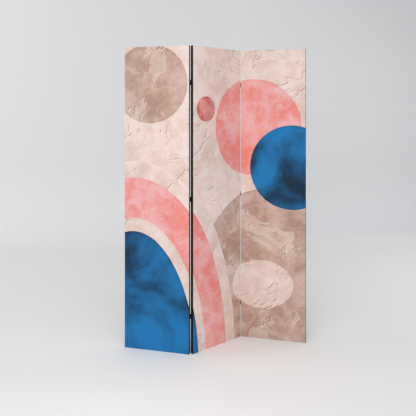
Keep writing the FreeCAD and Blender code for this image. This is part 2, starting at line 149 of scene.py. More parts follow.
class DividerTimber(bpy.types.PropertyGroup):
    """Pine laths and beech dowels of the stretchers."""

    ring_pitch: length("Ring pitch", "Distance between growth rings across a pine lath", 3.2)
    pore_length: length("Pore length", "Length of the flecks in a beech dowel", 2.5)
    early_wood: colour("Early wood", "Pale band of the pine", "#e6cb9c")
    late_wood: colour("Late wood", "Dark band of the pine", "#c2955c")
    beech: colour("Beech", "Colour of the dowels", "#d8b48c")
    fleck: colour("Fleck", "Colour of the flecks in the dowels", "#a97c53")


class DividerHinges(bpy.types.PropertyGroup):
    """Steel hinges with their pins and screws."""

    lacquer: colour("Lacquer", "Black lacquer on the steel", "#0d0d0e")
    worn: colour("Worn", "Grey of the steel where the lacquer has rubbed thin", "#4a4a4c")
    grain: length("Grain", "Size of the orange peel in the lacquer", 1.2)


class DividerStudio(bpy.types.PropertyGroup):
    """Seamless paper, soft lights and the camera."""

    paper: colour("Paper", "Colour of the seamless paper on the floor", "#eae9e8")
    wall: colour("Wall", "Colour of the paper's wall", "#eaeaeb")
    # Painted shade: the wall's colour darkens to the right, standing in for light that falls off across it
    wall_painted_shade: colour("Wall end", "Colour of the wall where it darkens to the right", "#d6d6d8")
    air: colour("Air", "Colour of the light from all round", "#f4f5f7")
    air_strength: FloatProperty(name="Air strength", description="Strength of the light from all round",
                                default=0.745, min=0.0)
    overhead: power("Overhead", "Soft light over the floor in front of the divider", 17)
    wash: power("Wash", "Soft light on the left of the paper's wall", 36)
    front: power("Front", "Soft light beside the camera", 66)
    side: power("Side", "Soft light on the floor right of the divider", 12)
    lens: FloatProperty(name="Lens", description="Focal length of the camera", default=50.9, min=1.0,
                        subtype="DISTANCE_CAMERA", unit="CAMERA")
    shift: FloatProperty(name="Shift", description="How far the level camera's frame is lowered",
                         default=-0.21612)
    place: FloatVectorProperty(name="Place", description="Where the camera stands", size=3,
                               default=(-0.2507, -3.5668, 1.3758), subtype="TRANSLATION", unit="LENGTH")
    aim: FloatProperty(name="Aim", description="How far the camera is turned to the right",
                       default=math.radians(3.196), subtype="ANGLE", unit="ROTATION")


def in_use(sockets, name=None):
    """The first of a node's sockets that its settings leave in use, of any name or of the given one."""
    return next(socket for socket in sockets if socket.enabled and name in (None, socket.name))


def feed(node, links):
    """Fill a node's inputs, by name or in order, each from a value, a socket, a node or a list of these.

    A node stands for its first output in use."""
    for key, given in links.items() if isinstance(links, dict) else enumerate(links):
        socket = in_use(node.inputs, key) if isinstance(key, str) else node.inputs[key]
        for source in given if isinstance(given, list) else [given]:
            if isinstance(source, bpy.types.Node):
                source = in_use(source.outputs)
            if isinstance(source, bpy.types.NodeSocket):
                node.id_data.links.new(source, socket)
            else:
                socket.default_value = (*source, 1.0) if socket.type == "RGBA" else source


def add(tree, kind, links=(), **settings):
    """Add a node with its own settings, and fill its inputs. A shader node's kind goes without ShaderNode."""
    node = tree.nodes.new(kind if "Node" in kind else f"ShaderNode{kind}")
    for name, setting in settings.items():
        setattr(node, name, setting)
    feed(node, links)
    return node


def remap(tree, value, given=(0.0, 1.0), to=(0.0, 1.0), **settings):
    """Add a node that takes a value from one range to another and holds it there."""
    return add(tree, "MapRange", {"Value": value, "From Min": given[0], "From Max": given[1],
                                  "To Min": to[0], "To Max": to[1]}, **settings)


def mix(tree, share, first, second, data_type="RGBA", **settings):
    """Add a node that goes from one colour or number to another with a share from 0 to 1."""
    return add(tree, "Mix", {"Factor": share, "A": first, "B": second}, data_type=data_type, **settings)


def maths(tree, operation, *terms, **settings):
    """Add a node that works a sum on numbers."""
    return add(tree, "Math", terms, operation=operation, **settings)


def new_material(name):
    """Empty node material with its principled shader. Returns the material, its tree and the shader."""
    material = bpy.data.materials.new(name)
    material.use_nodes = True
    tree = material.node_tree
    tree.nodes.clear()
    shader = add(tree, "BsdfPrincipled")
    add(tree, "OutputMaterial", {"Surface": shader})
    return material, tree, shader


class PanelPlace:
    """Where a panel stands in the row, read from its front and back sheets."""

    def __init__(self, panel):
        front, back = map(self.corners, nodes_of(panel, ("picture_canvas", "back_cloth")))
        up = Vector((0, 0, 1))
        rearward = Vector(back.mean(0) - front.mean(0)) * Vector((1, 1, 0))
        rearward.normalize()
        across = rearward.cross(up)
        self.turn = math.atan2(across.y, across.x)
        axes = np.array([across, rearward, up])
        front, back = front @ axes.T, back @ axes.T
        self.width, _, self.height = front.max(0) - front.min(0)
        self.depth = back[:, 1].max() - front[:, 1].min()
        self.margin = back[:, 0].min() - front[:, 0].min()
        turned = Matrix((across, rearward, up)).transposed().to_4x4()
        self.front = turned @ Matrix.Translation(front.min(0))
        half_turn = Matrix.Rotation(math.pi, 4, "Z")
        self.rear = self.front @ Matrix.Translation((self.width, self.depth, 0)) @ half_turn

    @staticmethod
    def corners(node):
        """The corners of a CAD sheet, each of them once."""
        points = np.array([v.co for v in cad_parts[node].data.vertices], float)
        return np.unique(points.round(6), axis=0)


def edged_lines(start, end, near, step):
    """Grid lines from start to end: at the given distances from both edges, and evenly spaced between."""
    near = np.array(near)
    count = max(2, round((end - start - 2 * near[-1]) / step) + 1)
    middle = np.linspace(start + near[-1], end - near[-1], count)
    return np.concatenate([start + near[:-1], middle, (end - near[:-1])[::-1]])


def from_edge(x, z, xs, zs):
    """Distance of points to the nearest edge of a grid, and their place along that edge."""
    side = np.minimum(x - xs[0], xs[-1] - x)
    end = np.minimum(z - zs[0], zs[-1] - z)
    return np.minimum(side, end), np.where(side < end, z, x)


def swell(inside, along, pitch, rise, fall):
    """Waves between the staples, which grow over one distance from the edge and die away over the other."""
    return np.cos(math.tau * along / pitch) * inside / rise * np.exp(-inside / fall)


def rim_walk(xs, zs, corner_steps):
    """Walk round the edge of a grid: for each stop its x and z, and the outward direction there."""
    left, right, low, high = xs[0], xs[-1], zs[0], zs[-1]
    sides = [
        ([(x, low) for x in xs[1:-1]], -90, (right, low)),
        ([(right, z) for z in zs[1:-1]], 0, (right, high)),
        ([(x, high) for x in xs[-2:0:-1]], 90, (left, high)),
        ([(left, z) for z in zs[-2:0:-1]], 180, (left, low)),
    ]
    stops = []
    for points, facing, corner in sides:
        stops += [(*point, facing) for point in points]
        stops += [(*corner, facing + 90 * k / corner_steps) for k in range(corner_steps + 1)]
    angles = np.radians([stop[2] for stop in stops])
    places = np.array([stop[:2] for stop in stops])
    return places, np.stack([np.cos(angles), np.sin(angles)], axis=1)


def quarter(radius, depth, steps, closing=False):
    """Points (outward, depth) of a quarter turn of the cloth, out from its front or in to its back."""
    turns = [math.pi / 2 * k / steps for k in range(1, steps + 1)]
    if closing:
        return [(radius * math.cos(turn), depth - radius + radius * math.sin(turn)) for turn in turns]
    return [(radius * math.sin(turn), depth + radius - radius * math.cos(turn)) for turn in turns]


def cloth_mesh(name, xs, zs, relief, rim, place, shift=0.0, edge_from=math.inf):
    """Mesh of a stretched cloth: a front grid, then a rim that follows (outward, depth) from its edge.

    x runs across, z up and y into the panel. The rim takes the second material from a given depth on. The
    cloth's own flat coordinates, shifted across, go into a UV map, in metres."""
    across, up = np.meshgrid(xs, zs, indexing="ij")
    points = [np.stack([across, relief(across, up), up], axis=-1).reshape(-1, 3)]
    flats = [np.stack([across, up], axis=-1).reshape(-1, 2)]
    rows = len(zs)
    cells = [(i * rows + k, (i + 1) * rows + k, (i + 1) * rows + k + 1, i * rows + k + 1)
             for i in range(len(xs) - 1) for k in range(rows - 1)]
    kinds = [0] * len(cells)

    places, outward = rim_walk(xs, zs, corner_steps=3)
    middle = np.array([(xs[0] + xs[-1]) / 2, (zs[0] + zs[-1]) / 2])
    half = np.array([(xs[-1] - xs[0]) / 2, (zs[-1] - zs[0]) / 2])
    stops = len(places)
    first = len(points[0])
    walked, last = 0.0, (0.0, 0.0)
    for ring, (out, depth) in enumerate([last] + rim):
        walked += math.dist(last, (out, depth))
        last = (out, depth)
        if out >= 0:
            spots = places + outward * out
        else:
            spots = middle + (places - middle) * (half + out) / half
        depths = np.full(stops, depth) if ring else relief(*places.T)
        points.append(np.column_stack([spots[:, 0], depths, spots[:, 1]]))
        flats.append(places + outward * walked)
        if ring:
            here, before = first + ring * stops, first + (ring - 1) * stops
            for n in range(stops):
                following = (n + 1) % stops
                cells.append((before + n, here + n, here + following, before + following))
                kinds.append(int(depth >= edge_from))

    mesh = bpy.data.meshes.new(name)
    mesh.from_pydata(np.concatenate(points).tolist(), [], cells)
    mesh.polygons.foreach_set("material_index", kinds)
    mesh.polygons.foreach_set("use_smooth", [True] * len(cells))
    flat = np.concatenate(flats) + np.array([shift, 0.0])
    corners = np.zeros(len(mesh.loops), int)
    mesh.loops.foreach_get("vertex_index", corners)
    mesh.uv_layers.new(name=PRINT_MAP).data.foreach_set("uv", flat[corners].astype(np.float32).ravel())
    work = bmesh.new()
    work.from_mesh(mesh)
    bmesh.ops.remove_doubles(work, verts=work.verts, dist=0.001 * MM)
    work.to_mesh(mesh)
    work.free()
    mesh.transform(place)
    return mesh


def make_piece(name, mesh, materials, body, nodes):
    """Object of a finished mesh that rides on a body and stands for CAD nodes."""
    piece = bpy.data.objects.new(name, mesh)
    bpy.context.scene.collection.objects.link(piece)
    for material in materials:
        if material.name not in mesh.materials:
            mesh.materials.append(material)
    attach(piece, body)
    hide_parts(*nodes)
    return piece


def thicken(piece, thickness):
    """Give a cloth its thickness, inwards from its outer face."""
    wall = piece.modifiers.new("Cloth thickness", "SOLIDIFY")
    wall.thickness = thickness
    wall.offset = -1
    wall.use_even_offset = True


def weave_height(tree, flat, pitch):
    """Height of a plain weave, in which threads pass over and under each other by turns."""
    apart = add(tree, "SeparateXYZ", [flat]).outputs
    waves = []
    for way in ("X", "Y"):
        turns = maths(tree, "MULTIPLY", apart[way], math.tau / pitch)
        waves.append(maths(tree, "SINE", turns))
    return maths(tree, "MULTIPLY", *waves)


# The print, a generic design of discs and arches that runs across the three panels. Each form is an
# ellipse: its middle and half sizes in metres, from the lower left corner of the left panel, its two
# tones, and how far the plaster flakes there, from 0 to 1.
FORMS = (
    ("taupe hill", (1.02, 0.10), (0.68, 0.84), "taupe", "clay", 1.0),
    ("outer arch", (0.06, -0.10), (0.70, 1.22), "blush", "cream", 1.0),
    ("coral arch", (0.06, -0.10), (0.62, 1.12), "pink", "coral", 0.3),
    ("inner arch", (0.06, -0.10), (0.45, 0.88), "cream", "blush", 1.0),
    ("blue hill", (0.06, -0.10), (0.39, 0.80), "blue", "navy", 0.0),
    ("clay moon", (0.16, 1.58), (0.235, 0.235), "taupe", "clay", 1.0),
    ("coral sun", (0.89, 1.32), (0.30, 0.30), "pink", "coral", 0.3),
    ("blue moon", (1.13, 1.07), (0.26, 0.26), "blue", "navy", 0.0),
    ("cream stone", (0.94, 0.34), (0.20, 0.15), "cream", "blush", 1.0),
    ("rose pebble", (0.51, 1.43), (0.075, 0.075), "coral", "rose", 0.6),
)


def printed_canvas(sizes):
    """Cotton canvas, primed and printed with matt ink.

    The eye sees dull colour that gathers and thins like distemper on old plaster, with hairline cracks and
    lifted edges as part of the print, over the fine grid of the weave."""
    material, tree, shader = new_material("Printed cotton canvas")
    flat = add(tree, "UVMap", uv_map=PRINT_MAP)

    # Slow change of tone (400 mm), drift (250 mm), pools of wash (70 mm) and speckle of the plaster (9 mm)
    slow = add(tree, "TexNoise", {"Vector": flat, "Scale": 2.5, "Detail": 6.0, "Distortion": 0.5})
    drift = add(tree, "TexNoise", {"Vector": flat, "Scale": 4.0, "Detail": 5.0, "Roughness": 0.55,
                                   "Distortion": 0.4})
    wash = add(tree, "TexNoise", {"Vector": flat, "Scale": 14.0, "Detail": 8.0, "Roughness": 0.62,
                                  "Distortion": 0.6})
    speckle = add(tree, "TexNoise", {"Vector": flat, "Scale": 110.0, "Detail": 4.0, "Roughness": 0.6})
    # The dry paints show the pools, the wet blue ones hardly
    tones = {}
    for kind, broad, share in (("dry", drift, 0.45), ("wet", slow, 0.12)):
        pooled = mix(tree, share, broad, wash, data_type="FLOAT")
        tones[kind] = remap(tree, pooled, (0.38, 0.62), interpolation_type="SMOOTHSTEP")

    # A shaky hand moves the outlines by a millimetre
    shake = add(tree, "TexNoise", {"Vector": flat, "Scale": 9.0, "Detail": 3.0}).outputs["Color"]
    shake = add(tree, "VectorMath", [shake, (0.5, 0.5, 0.5)], operation="SUBTRACT")
    shake = add(tree, "VectorMath", {0: shake, "Scale": 4 * MM}, operation="SCALE")
    drawn = add(tree, "VectorMath", [flat, shake], operation="ADD")

    ground = mix(tree, tones["dry"], sizes.cream, sizes.blush)
    flaking = 1.0
    for name, middle, half, light, dark, flaked in FORMS:
        away = add(tree, "VectorMath", [drawn, (*middle, 0.0)], operation="SUBTRACT", label=name)
        away = add(tree, "VectorMath", [away, (*half, 1.0)], operation="DIVIDE")
        reach = add(tree, "VectorMath", [away], operation="LENGTH")
        # The outline is soft over less than a millimetre to each side
        soft = 0.8 * MM / min(half)
        inside = remap(tree, reach, (1 + soft, 1 - soft), interpolation_type="SMOOTHSTEP")
        # Pigment gathers a little where the wash stops
        gathered = remap(tree, reach, (1 - 18 * soft, 1.0), (0.0, 0.25))
        tone = tones["dry" if flaked else "wet"]
        depth = maths(tree, "ADD", tone, gathered, use_clamp=True)
        paint = mix(tree, depth, getattr(sizes, light), getattr(sizes, dark))
        ground = mix(tree, inside, ground, paint)
        flaking = mix(tree, inside, flaking, flaked, data_type="FLOAT")

    # Flakes of plaster in two sizes, a hand and a thumb wide: paler, lit on one rim and shaded on the other
    flakes, lifted = [], []
    for scale, brink in ((3.4, 0.565), (11.0, 0.635)):
        sides = []
        for lift in (-1.8 * MM, 1.8 * MM):
            slid = add(tree, "VectorMath", [flat, (-lift, lift, 0.0)], operation="ADD")
            field = add(tree, "TexNoise", {"Vector": slid, "Scale": scale, "Detail": 9.0,
                                           "Roughness": 0.58, "Distortion": 0.9})
            sides.append(remap(tree, field, (brink, brink + 0.008)))
        flakes.append(sides[0])
        lifted.append(maths(tree, "SUBTRACT", *sides))
    paler = maths(tree, "MAXIMUM", *flakes)
    paler = maths(tree, "MULTIPLY", paler, flaking)
    # A flake is paler by a third at most, and its rims show where the wash has pooled
    paler = maths(tree, "MULTIPLY", paler, 0.3)
    worn = remap(tree, wash, (0.36, 0.52))
    worn = maths(tree, "MULTIPLY", worn, flaking)
    relief = maths(tree, "ADD", *lifted)
    relief = maths(tree, "MULTIPLY", relief, worn)
    shadow = remap(tree, relief, to=(0.0, 0.6))
    gleam = remap(tree, relief, (0.0, -1.0), (0.0, 0.45))

    # Hairline cracks between plates of plaster 140 mm across, seen only here and there
    sway = add(tree, "TexNoise", {"Vector": flat, "Scale": 8.0, "Detail": 1.2}).outputs["Color"]
    bent = add(tree, "VectorMath", {0: sway, "Scale": 90 * MM}, operation="SCALE")
    bent = add(tree, "VectorMath", [flat, bent], operation="ADD")
    plates = add(tree, "TexVoronoi", {"Vector": bent, "Scale": 7.0}, feature="DISTANCE_TO_EDGE")
    hair = remap(tree, plates, (0.013, 0.003))
    there = remap(tree, drift, (0.54, 0.62), (0.0, 0.25))
    crack = maths(tree, "MULTIPLY", hair, there)
    crack = maths(tree, "MULTIPLY", crack, flaking)

    for share, tint, blend in ((paler, sizes.cream, "MIX"), (shadow, sizes.shaded, "MULTIPLY"),
                               (gleam, sizes.lit, "SCREEN"), (crack, sizes.cracked, "MULTIPLY")):
        ground = mix(tree, share, ground, tint, blend_type=blend)
    grit = remap(tree, speckle, (0.3, 0.7), (0.93, 1.06))
    base = add(tree, "VectorMath", {0: ground, "Scale": grit}, operation="SCALE")
    rough = remap(tree, speckle, to=(0.72, 0.86))
    # A thread of the cloth is 0.6 mm wide: it is drawn at twice that, the least that a close view shows
    weave = weave_height(tree, flat, sizes.thread)
    bump = add(tree, "Bump", {"Strength": 0.25, "Distance": 0.2 * MM, "Height": weave})
    feed(shader, {"Base Color": base, "Roughness": rough, "Specular IOR Level": 0.35, "Normal": bump})
    return material


def black_canvas(sizes):
    """The same canvas where it is printed black: duller and a little dusty, with the weave showing."""
    material, tree, shader = new_material("Black printed canvas edge")
    flat = add(tree, "UVMap", uv_map=PRINT_MAP)
    # Dust lies in patches 17 mm wide
    dust = add(tree, "TexNoise", {"Vector": flat, "Scale": 60.0, "Detail": 6.0})
    dusty = remap(tree, dust, (0.45, 0.75), (0.0, 0.5))
    base = mix(tree, dusty, sizes.edge, sizes.dust)
    rough = remap(tree, dust, to=(0.72, 0.88))
    weave = weave_height(tree, flat, sizes.thread)
    bump = add(tree, "Bump", {"Strength": 0.3, "Distance": 0.2 * MM, "Height": weave})
    feed(shader, {"Base Color": base, "Roughness": rough, "Specular IOR Level": 0.3, "Normal": bump})
    return material


def spunbond(sizes):
    """Spunbonded polypropylene cloth: soft black with cloudy fibres and a grid of pressed points."""
    material, tree, shader = new_material("Black spunbonded back cloth")
    flat = add(tree, "UVMap", uv_map=PRINT_MAP)
    # The fibres gather in clouds 29 mm wide
    cloud = add(tree, "TexNoise", {"Vector": flat, "Scale": 35.0, "Detail": 8.0, "Roughness": 0.7})
    cloudy = remap(tree, cloud, (0.35, 0.7))
    base = mix(tree, cloudy, sizes.black, sizes.cloud)
    rough = remap(tree, cloud, to=(0.62, 0.85))
    # The points are 1 mm apart in the real cloth: they are drawn at 4 mm, so that a close view shows them
    points = weave_height(tree, flat, sizes.bond_pitch)
    height = maths(tree, "ADD", points, cloud)
    bump = add(tree, "Bump", {"Strength": 0.35, "Distance": 0.2 * MM, "Height": height})
    feed(shader, {"Base Color": base, "Roughness": rough, "Sheen Weight": 0.25, "Sheen Roughness": 0.4,
                  "Normal": bump})
    return material


def along_grain(tree, turn, stretch):
    """Object coordinates turned to a panel's own directions and stretched along the grain."""
    where = add(tree, "TexCoord").outputs["Object"]
    in_panel = add(tree, "Mapping", {"Vector": where, "Rotation": (0.0, 0.0, -turn)})
    return add(tree, "VectorMath", [in_panel, stretch], operation="MULTIPLY")


def planed_pine(sizes, name, turn, upright):
    """Planed pine: pale early wood and darker late wood in long bands along the lath, with fine fibres."""
    material, tree, shader = new_material(name)
    along = along_grain(tree, turn, (1.0, 1.0, 0.06) if upright else (0.06, 1.0, 1.0))
    # The rings wander every 33 mm, and the fibre lines are 1 mm wide
    drift = add(tree, "TexNoise", {"Vector": along, "Scale": 30.0, "Detail": 3.0})
    fibre = add(tree, "TexNoise", {"Vector": along, "Scale": 900.0, "Detail": 3.0})
    apart = add(tree, "SeparateXYZ", [along]).outputs
    across = maths(tree, "ADD", apart["X" if upright else "Z"], apart["Y"])
    rings = maths(tree, "MULTIPLY", across, math.tau / sizes.ring_pitch)
    bent = maths(tree, "MULTIPLY_ADD", drift, 14.0, rings)
    wave = maths(tree, "SINE", bent)
    late = remap(tree, wave, (-0.6, 1.0), interpolation_type="SMOOTHSTEP")
    wood = mix(tree, late, sizes.early_wood, sizes.late_wood)
    lines = remap(tree, fibre, to=(0.88, 1.08))
    base = add(tree, "VectorMath", {0: wood, "Scale": lines}, operation="SCALE")
    rough = remap(tree, late, to=(0.62, 0.48))
    bump = add(tree, "Bump", {"Strength": 0.2, "Distance": 0.1 * MM, "Height": fibre})
    feed(shader, {"Base Color": base, "Roughness": rough, "Normal": bump})
    return material


def turned_beech(sizes, name, turn):
    """Turned beech: even tan wood with short dark flecks along the dowel."""
    material, tree, shader = new_material(name)
    along = along_grain(tree, turn, (0.2, 1.0, 1.0))
    pores = add(tree, "TexNoise", {"Vector": along, "Scale": 1 / sizes.pore_length, "Detail": 4.0})
    flecks = remap(tree, pores, (0.52, 0.68), (0.0, 0.8))
    base = mix(tree, flecks, sizes.beech, sizes.fleck)
    rough = remap(tree, pores, to=(0.45, 0.6))
    bump = add(tree, "Bump", {"Strength": 0.2, "Distance": 0.1 * MM, "Height": pores})
    feed(shader, {"Base Color": base, "Roughness": rough, "Normal": bump})
    return material


def lacquered_steel(sizes):
    """Pressed steel under black stoving lacquer: a soft gloss with orange peel, rubbed grey in places."""
    material, tree, shader = new_material("Black lacquered steel")
    where = add(tree, "TexCoord").outputs["Object"]
    peel = add(tree, "TexNoise", {"Vector": where, "Scale": 1 / sizes.grain, "Detail": 2.0})
    # The lacquer is rubbed in spots 4 mm apart
    rub = add(tree, "TexNoise", {"Vector": where, "Scale": 260.0, "Detail": 6.0, "Roughness": 0.7})
    rubbed = remap(tree, rub, (0.60, 0.72), (0.0, 0.6))
    base = mix(tree, rubbed, sizes.lacquer, sizes.worn)
    rough = remap(tree, rub, to=(0.28, 0.5))
    bump = add(tree, "Bump", {"Strength": 0.15, "Distance": 0.05 * MM, "Height": peel})
    feed(shader, {"Base Color": base, "Metallic": rubbed, "Roughness": rough, "Normal": bump})
    return material


def galvanised_wire(sizes):
    """Galvanised steel wire, flattened: grey metal with a dull zinc bloom in spots 1.4 mm wide."""
    material, tree, shader = new_material("Galvanised staple wire")
    where = add(tree, "TexCoord").outputs["Object"]
    bloom = add(tree, "TexNoise", {"Vector": where, "Scale": 700.0, "Detail": 3.0})
    duller = remap(tree, bloom, (0.4, 0.7), (0.0, 0.5))
    base = mix(tree, duller, sizes.zinc, sizes.bloom)
    rough = remap(tree, bloom, to=(0.3, 0.55))
    feed(shader, {"Base Color": base, "Metallic": 1.0, "Roughness": rough})
    return material


def studio_paper(sizes):
    """Seamless paper, matt and faintly cloudy: even on the floor, its wall darkened to the right by painted
    shade.
    """
    material, tree, shader = new_material("Seamless studio paper")
    where = add(tree, "TexCoord").outputs["Object"]
    # Clouds of fibre 25 mm wide
    fibre = add(tree, "TexNoise", {"Vector": where, "Scale": 40.0, "Detail": 3.0})
    tint = remap(tree, fibre, to=(0.99, 1.01))
    apart = add(tree, "SeparateXYZ", [where]).outputs
    risen = remap(tree, apart["Z"], (0.0, 0.1))
    # Painted shade: the wall's colour darkens from 0.5 m to 3 m to the right, in place of light falling off
    painted_shade_share = remap(tree, apart["X"], (0.5, 3.0))
    wall = mix(tree, painted_shade_share, sizes.wall, sizes.wall_painted_shade)
    shade = mix(tree, risen, sizes.paper, wall)
    base = add(tree, "VectorMath", {0: shade, "Scale": tint}, operation="SCALE")
    feed(shader, {"Base Color": base, "Roughness": 0.9, "Specular IOR Level": 0.2})
    return material


class DIVIDER_OT_canvases(bpy.types.Operator):
    """Stretch the picture canvas over each panel, turned round its sides and hemmed on its back"""

    bl_idname = "divider.canvases"
    bl_label = "Picture canvases"

    def execute(self, context):
        sizes = context.scene.divider_canvas
        materials = [printed_canvas(sizes), black_canvas(sizes)]
        for count, panel in enumerate(PANELS):
            self.stretch(context.scene, panel, count, materials)
        return {"FINISHED"}

    def stretch(self, scene, panel, count, materials):
        """One panel's canvas, its print taken from that panel's place in the row."""
        sizes = scene.divider_canvas
        place = PanelPlace(panel)
        radius = sizes.fold_radius
        # Distances from the fold of the lines that carry the pull marks
        near = [0.0, 0.8 * MM, 4 * MM, 9 * MM]
        xs = edged_lines(radius, place.width - radius, near, sizes.step)
        zs = edged_lines(radius, place.height - radius, near, sizes.step)
        pitch = place.height / scene.divider_staples.stile_count

        def relief(x, z):
            inside, along = from_edge(x, z, xs, zs)
            wide = np.sin(np.pi * (x - xs[0]) / (xs[-1] - xs[0]))
            high = np.sin(np.pi * (z - zs[0]) / (zs[-1] - zs[0]))
            bowl = np.sqrt(np.clip(wide * high, 0, None))
            return sizes.hollow * bowl + sizes.scallop * swell(inside, along, pitch, 8 * MM, 16 * MM)

        back = place.depth - CLOTH_ROOM
        # Loops of mesh this far from each fold keep it round
        support = 0.6 * MM
        rim = quarter(radius, 0.0, 4)
        rim += [(radius, radius + support), (radius, back - radius - support), (radius, back - radius)]
        rim += quarter(radius, back, 4, closing=True)
        rim += [(-support, back), (radius - sizes.hem / 2, back), (radius - sizes.hem, back)]
        # The picture ends part of the way round the fold
        mesh = cloth_mesh(f"{panel}_canvas", xs, zs, relief, rim, place.front, shift=count * place.width,
                          edge_from=radius * 0.4)
        piece = make_piece(f"{panel}_canvas", mesh, materials, panel,
                           nodes_of(panel, ("picture_canvas", "canvas_wraps")))
        thicken(piece, sizes.thickness)


class DIVIDER_OT_back_cloths(bpy.types.Operator):
    """Close the back of each panel with black cloth, its edges turned under"""

    bl_idname = "divider.back_cloths"
    bl_label = "Back cloths"

    def execute(self, context):
        materials = [spunbond(context.scene.divider_back_cloth)]
        for panel in PANELS:
            self.close(context.scene, panel, materials)
        return {"FINISHED"}

    def close(self, scene, panel, materials):
        """One panel's back cloth, in the frame that looks at the panel from behind."""
        sizes = scene.divider_back_cloth
        place = PanelPlace(panel)
        margin = place.margin
        radius = sizes.thickness
        turned = sizes.turned_under
        # Distances from the cloth's edge at which it steps down, off its own fold and off the canvas hem
        fold_foot = turned + 2 * MM
        hem_end = scene.divider_canvas.hem - margin
        hem_foot = hem_end + 3 * MM
        near = [0.0, 1 * MM, 6 * MM, turned, fold_foot, hem_end, hem_foot, 35 * MM]
        xs = edged_lines(margin + radius, place.width - margin - radius, near, sizes.step)
        zs = edged_lines(margin + radius, place.height - margin - radius, near, sizes.step)
        pitch = place.height / scene.divider_staples.stile_count
        # Width of a lath and the canvas round it, and how far past it the cloth has sunk by half
        lath, slack = 38.5 * MM, 30 * MM

        def relief(x, z):
            inside, along = from_edge(x, z, xs, zs)
            fold = np.interp(inside, [turned, fold_foot], [0.0, 0.2 * MM])
            step = np.interp(inside, [hem_end, hem_foot], [0.0, 0.4 * MM])
            # The cloth sinks only past the laths: stiles and end rails, and cross rails at the thirds
            past_stile = np.minimum(x, place.width - x) - lath
            past_end = np.minimum(z, place.height - z) - lath
            past_cross = np.minimum(np.abs(z - place.height / 3), np.abs(z - place.height * 2 / 3)) - lath / 2
            free = np.clip(past_stile / (place.width / 2 - lath), 0, 1)
            open_height = np.clip(np.minimum(past_end, past_cross), 0, None)
            dip = np.sqrt(np.sin(np.pi / 2 * free)) * open_height / (open_height + slack)
            puckers = sizes.pucker * swell(inside, along, pitch, 9 * MM, 24 * MM)
            return fold + step + sizes.dip * dip + puckers

        rim = quarter(radius, 0.0, 3)
        rim += [(0.0, CLOTH_ROOM), (-turned / 2, CLOTH_ROOM), (-turned, CLOTH_ROOM)]
        mesh = cloth_mesh(f"{panel}_back_sheet", xs, zs, relief, rim, place.rear)
        piece = make_piece(f"{panel}_back_sheet", mesh, materials, panel,
                           [f"{panel}_back_cloth"])
        thicken(piece, sizes.thickness)


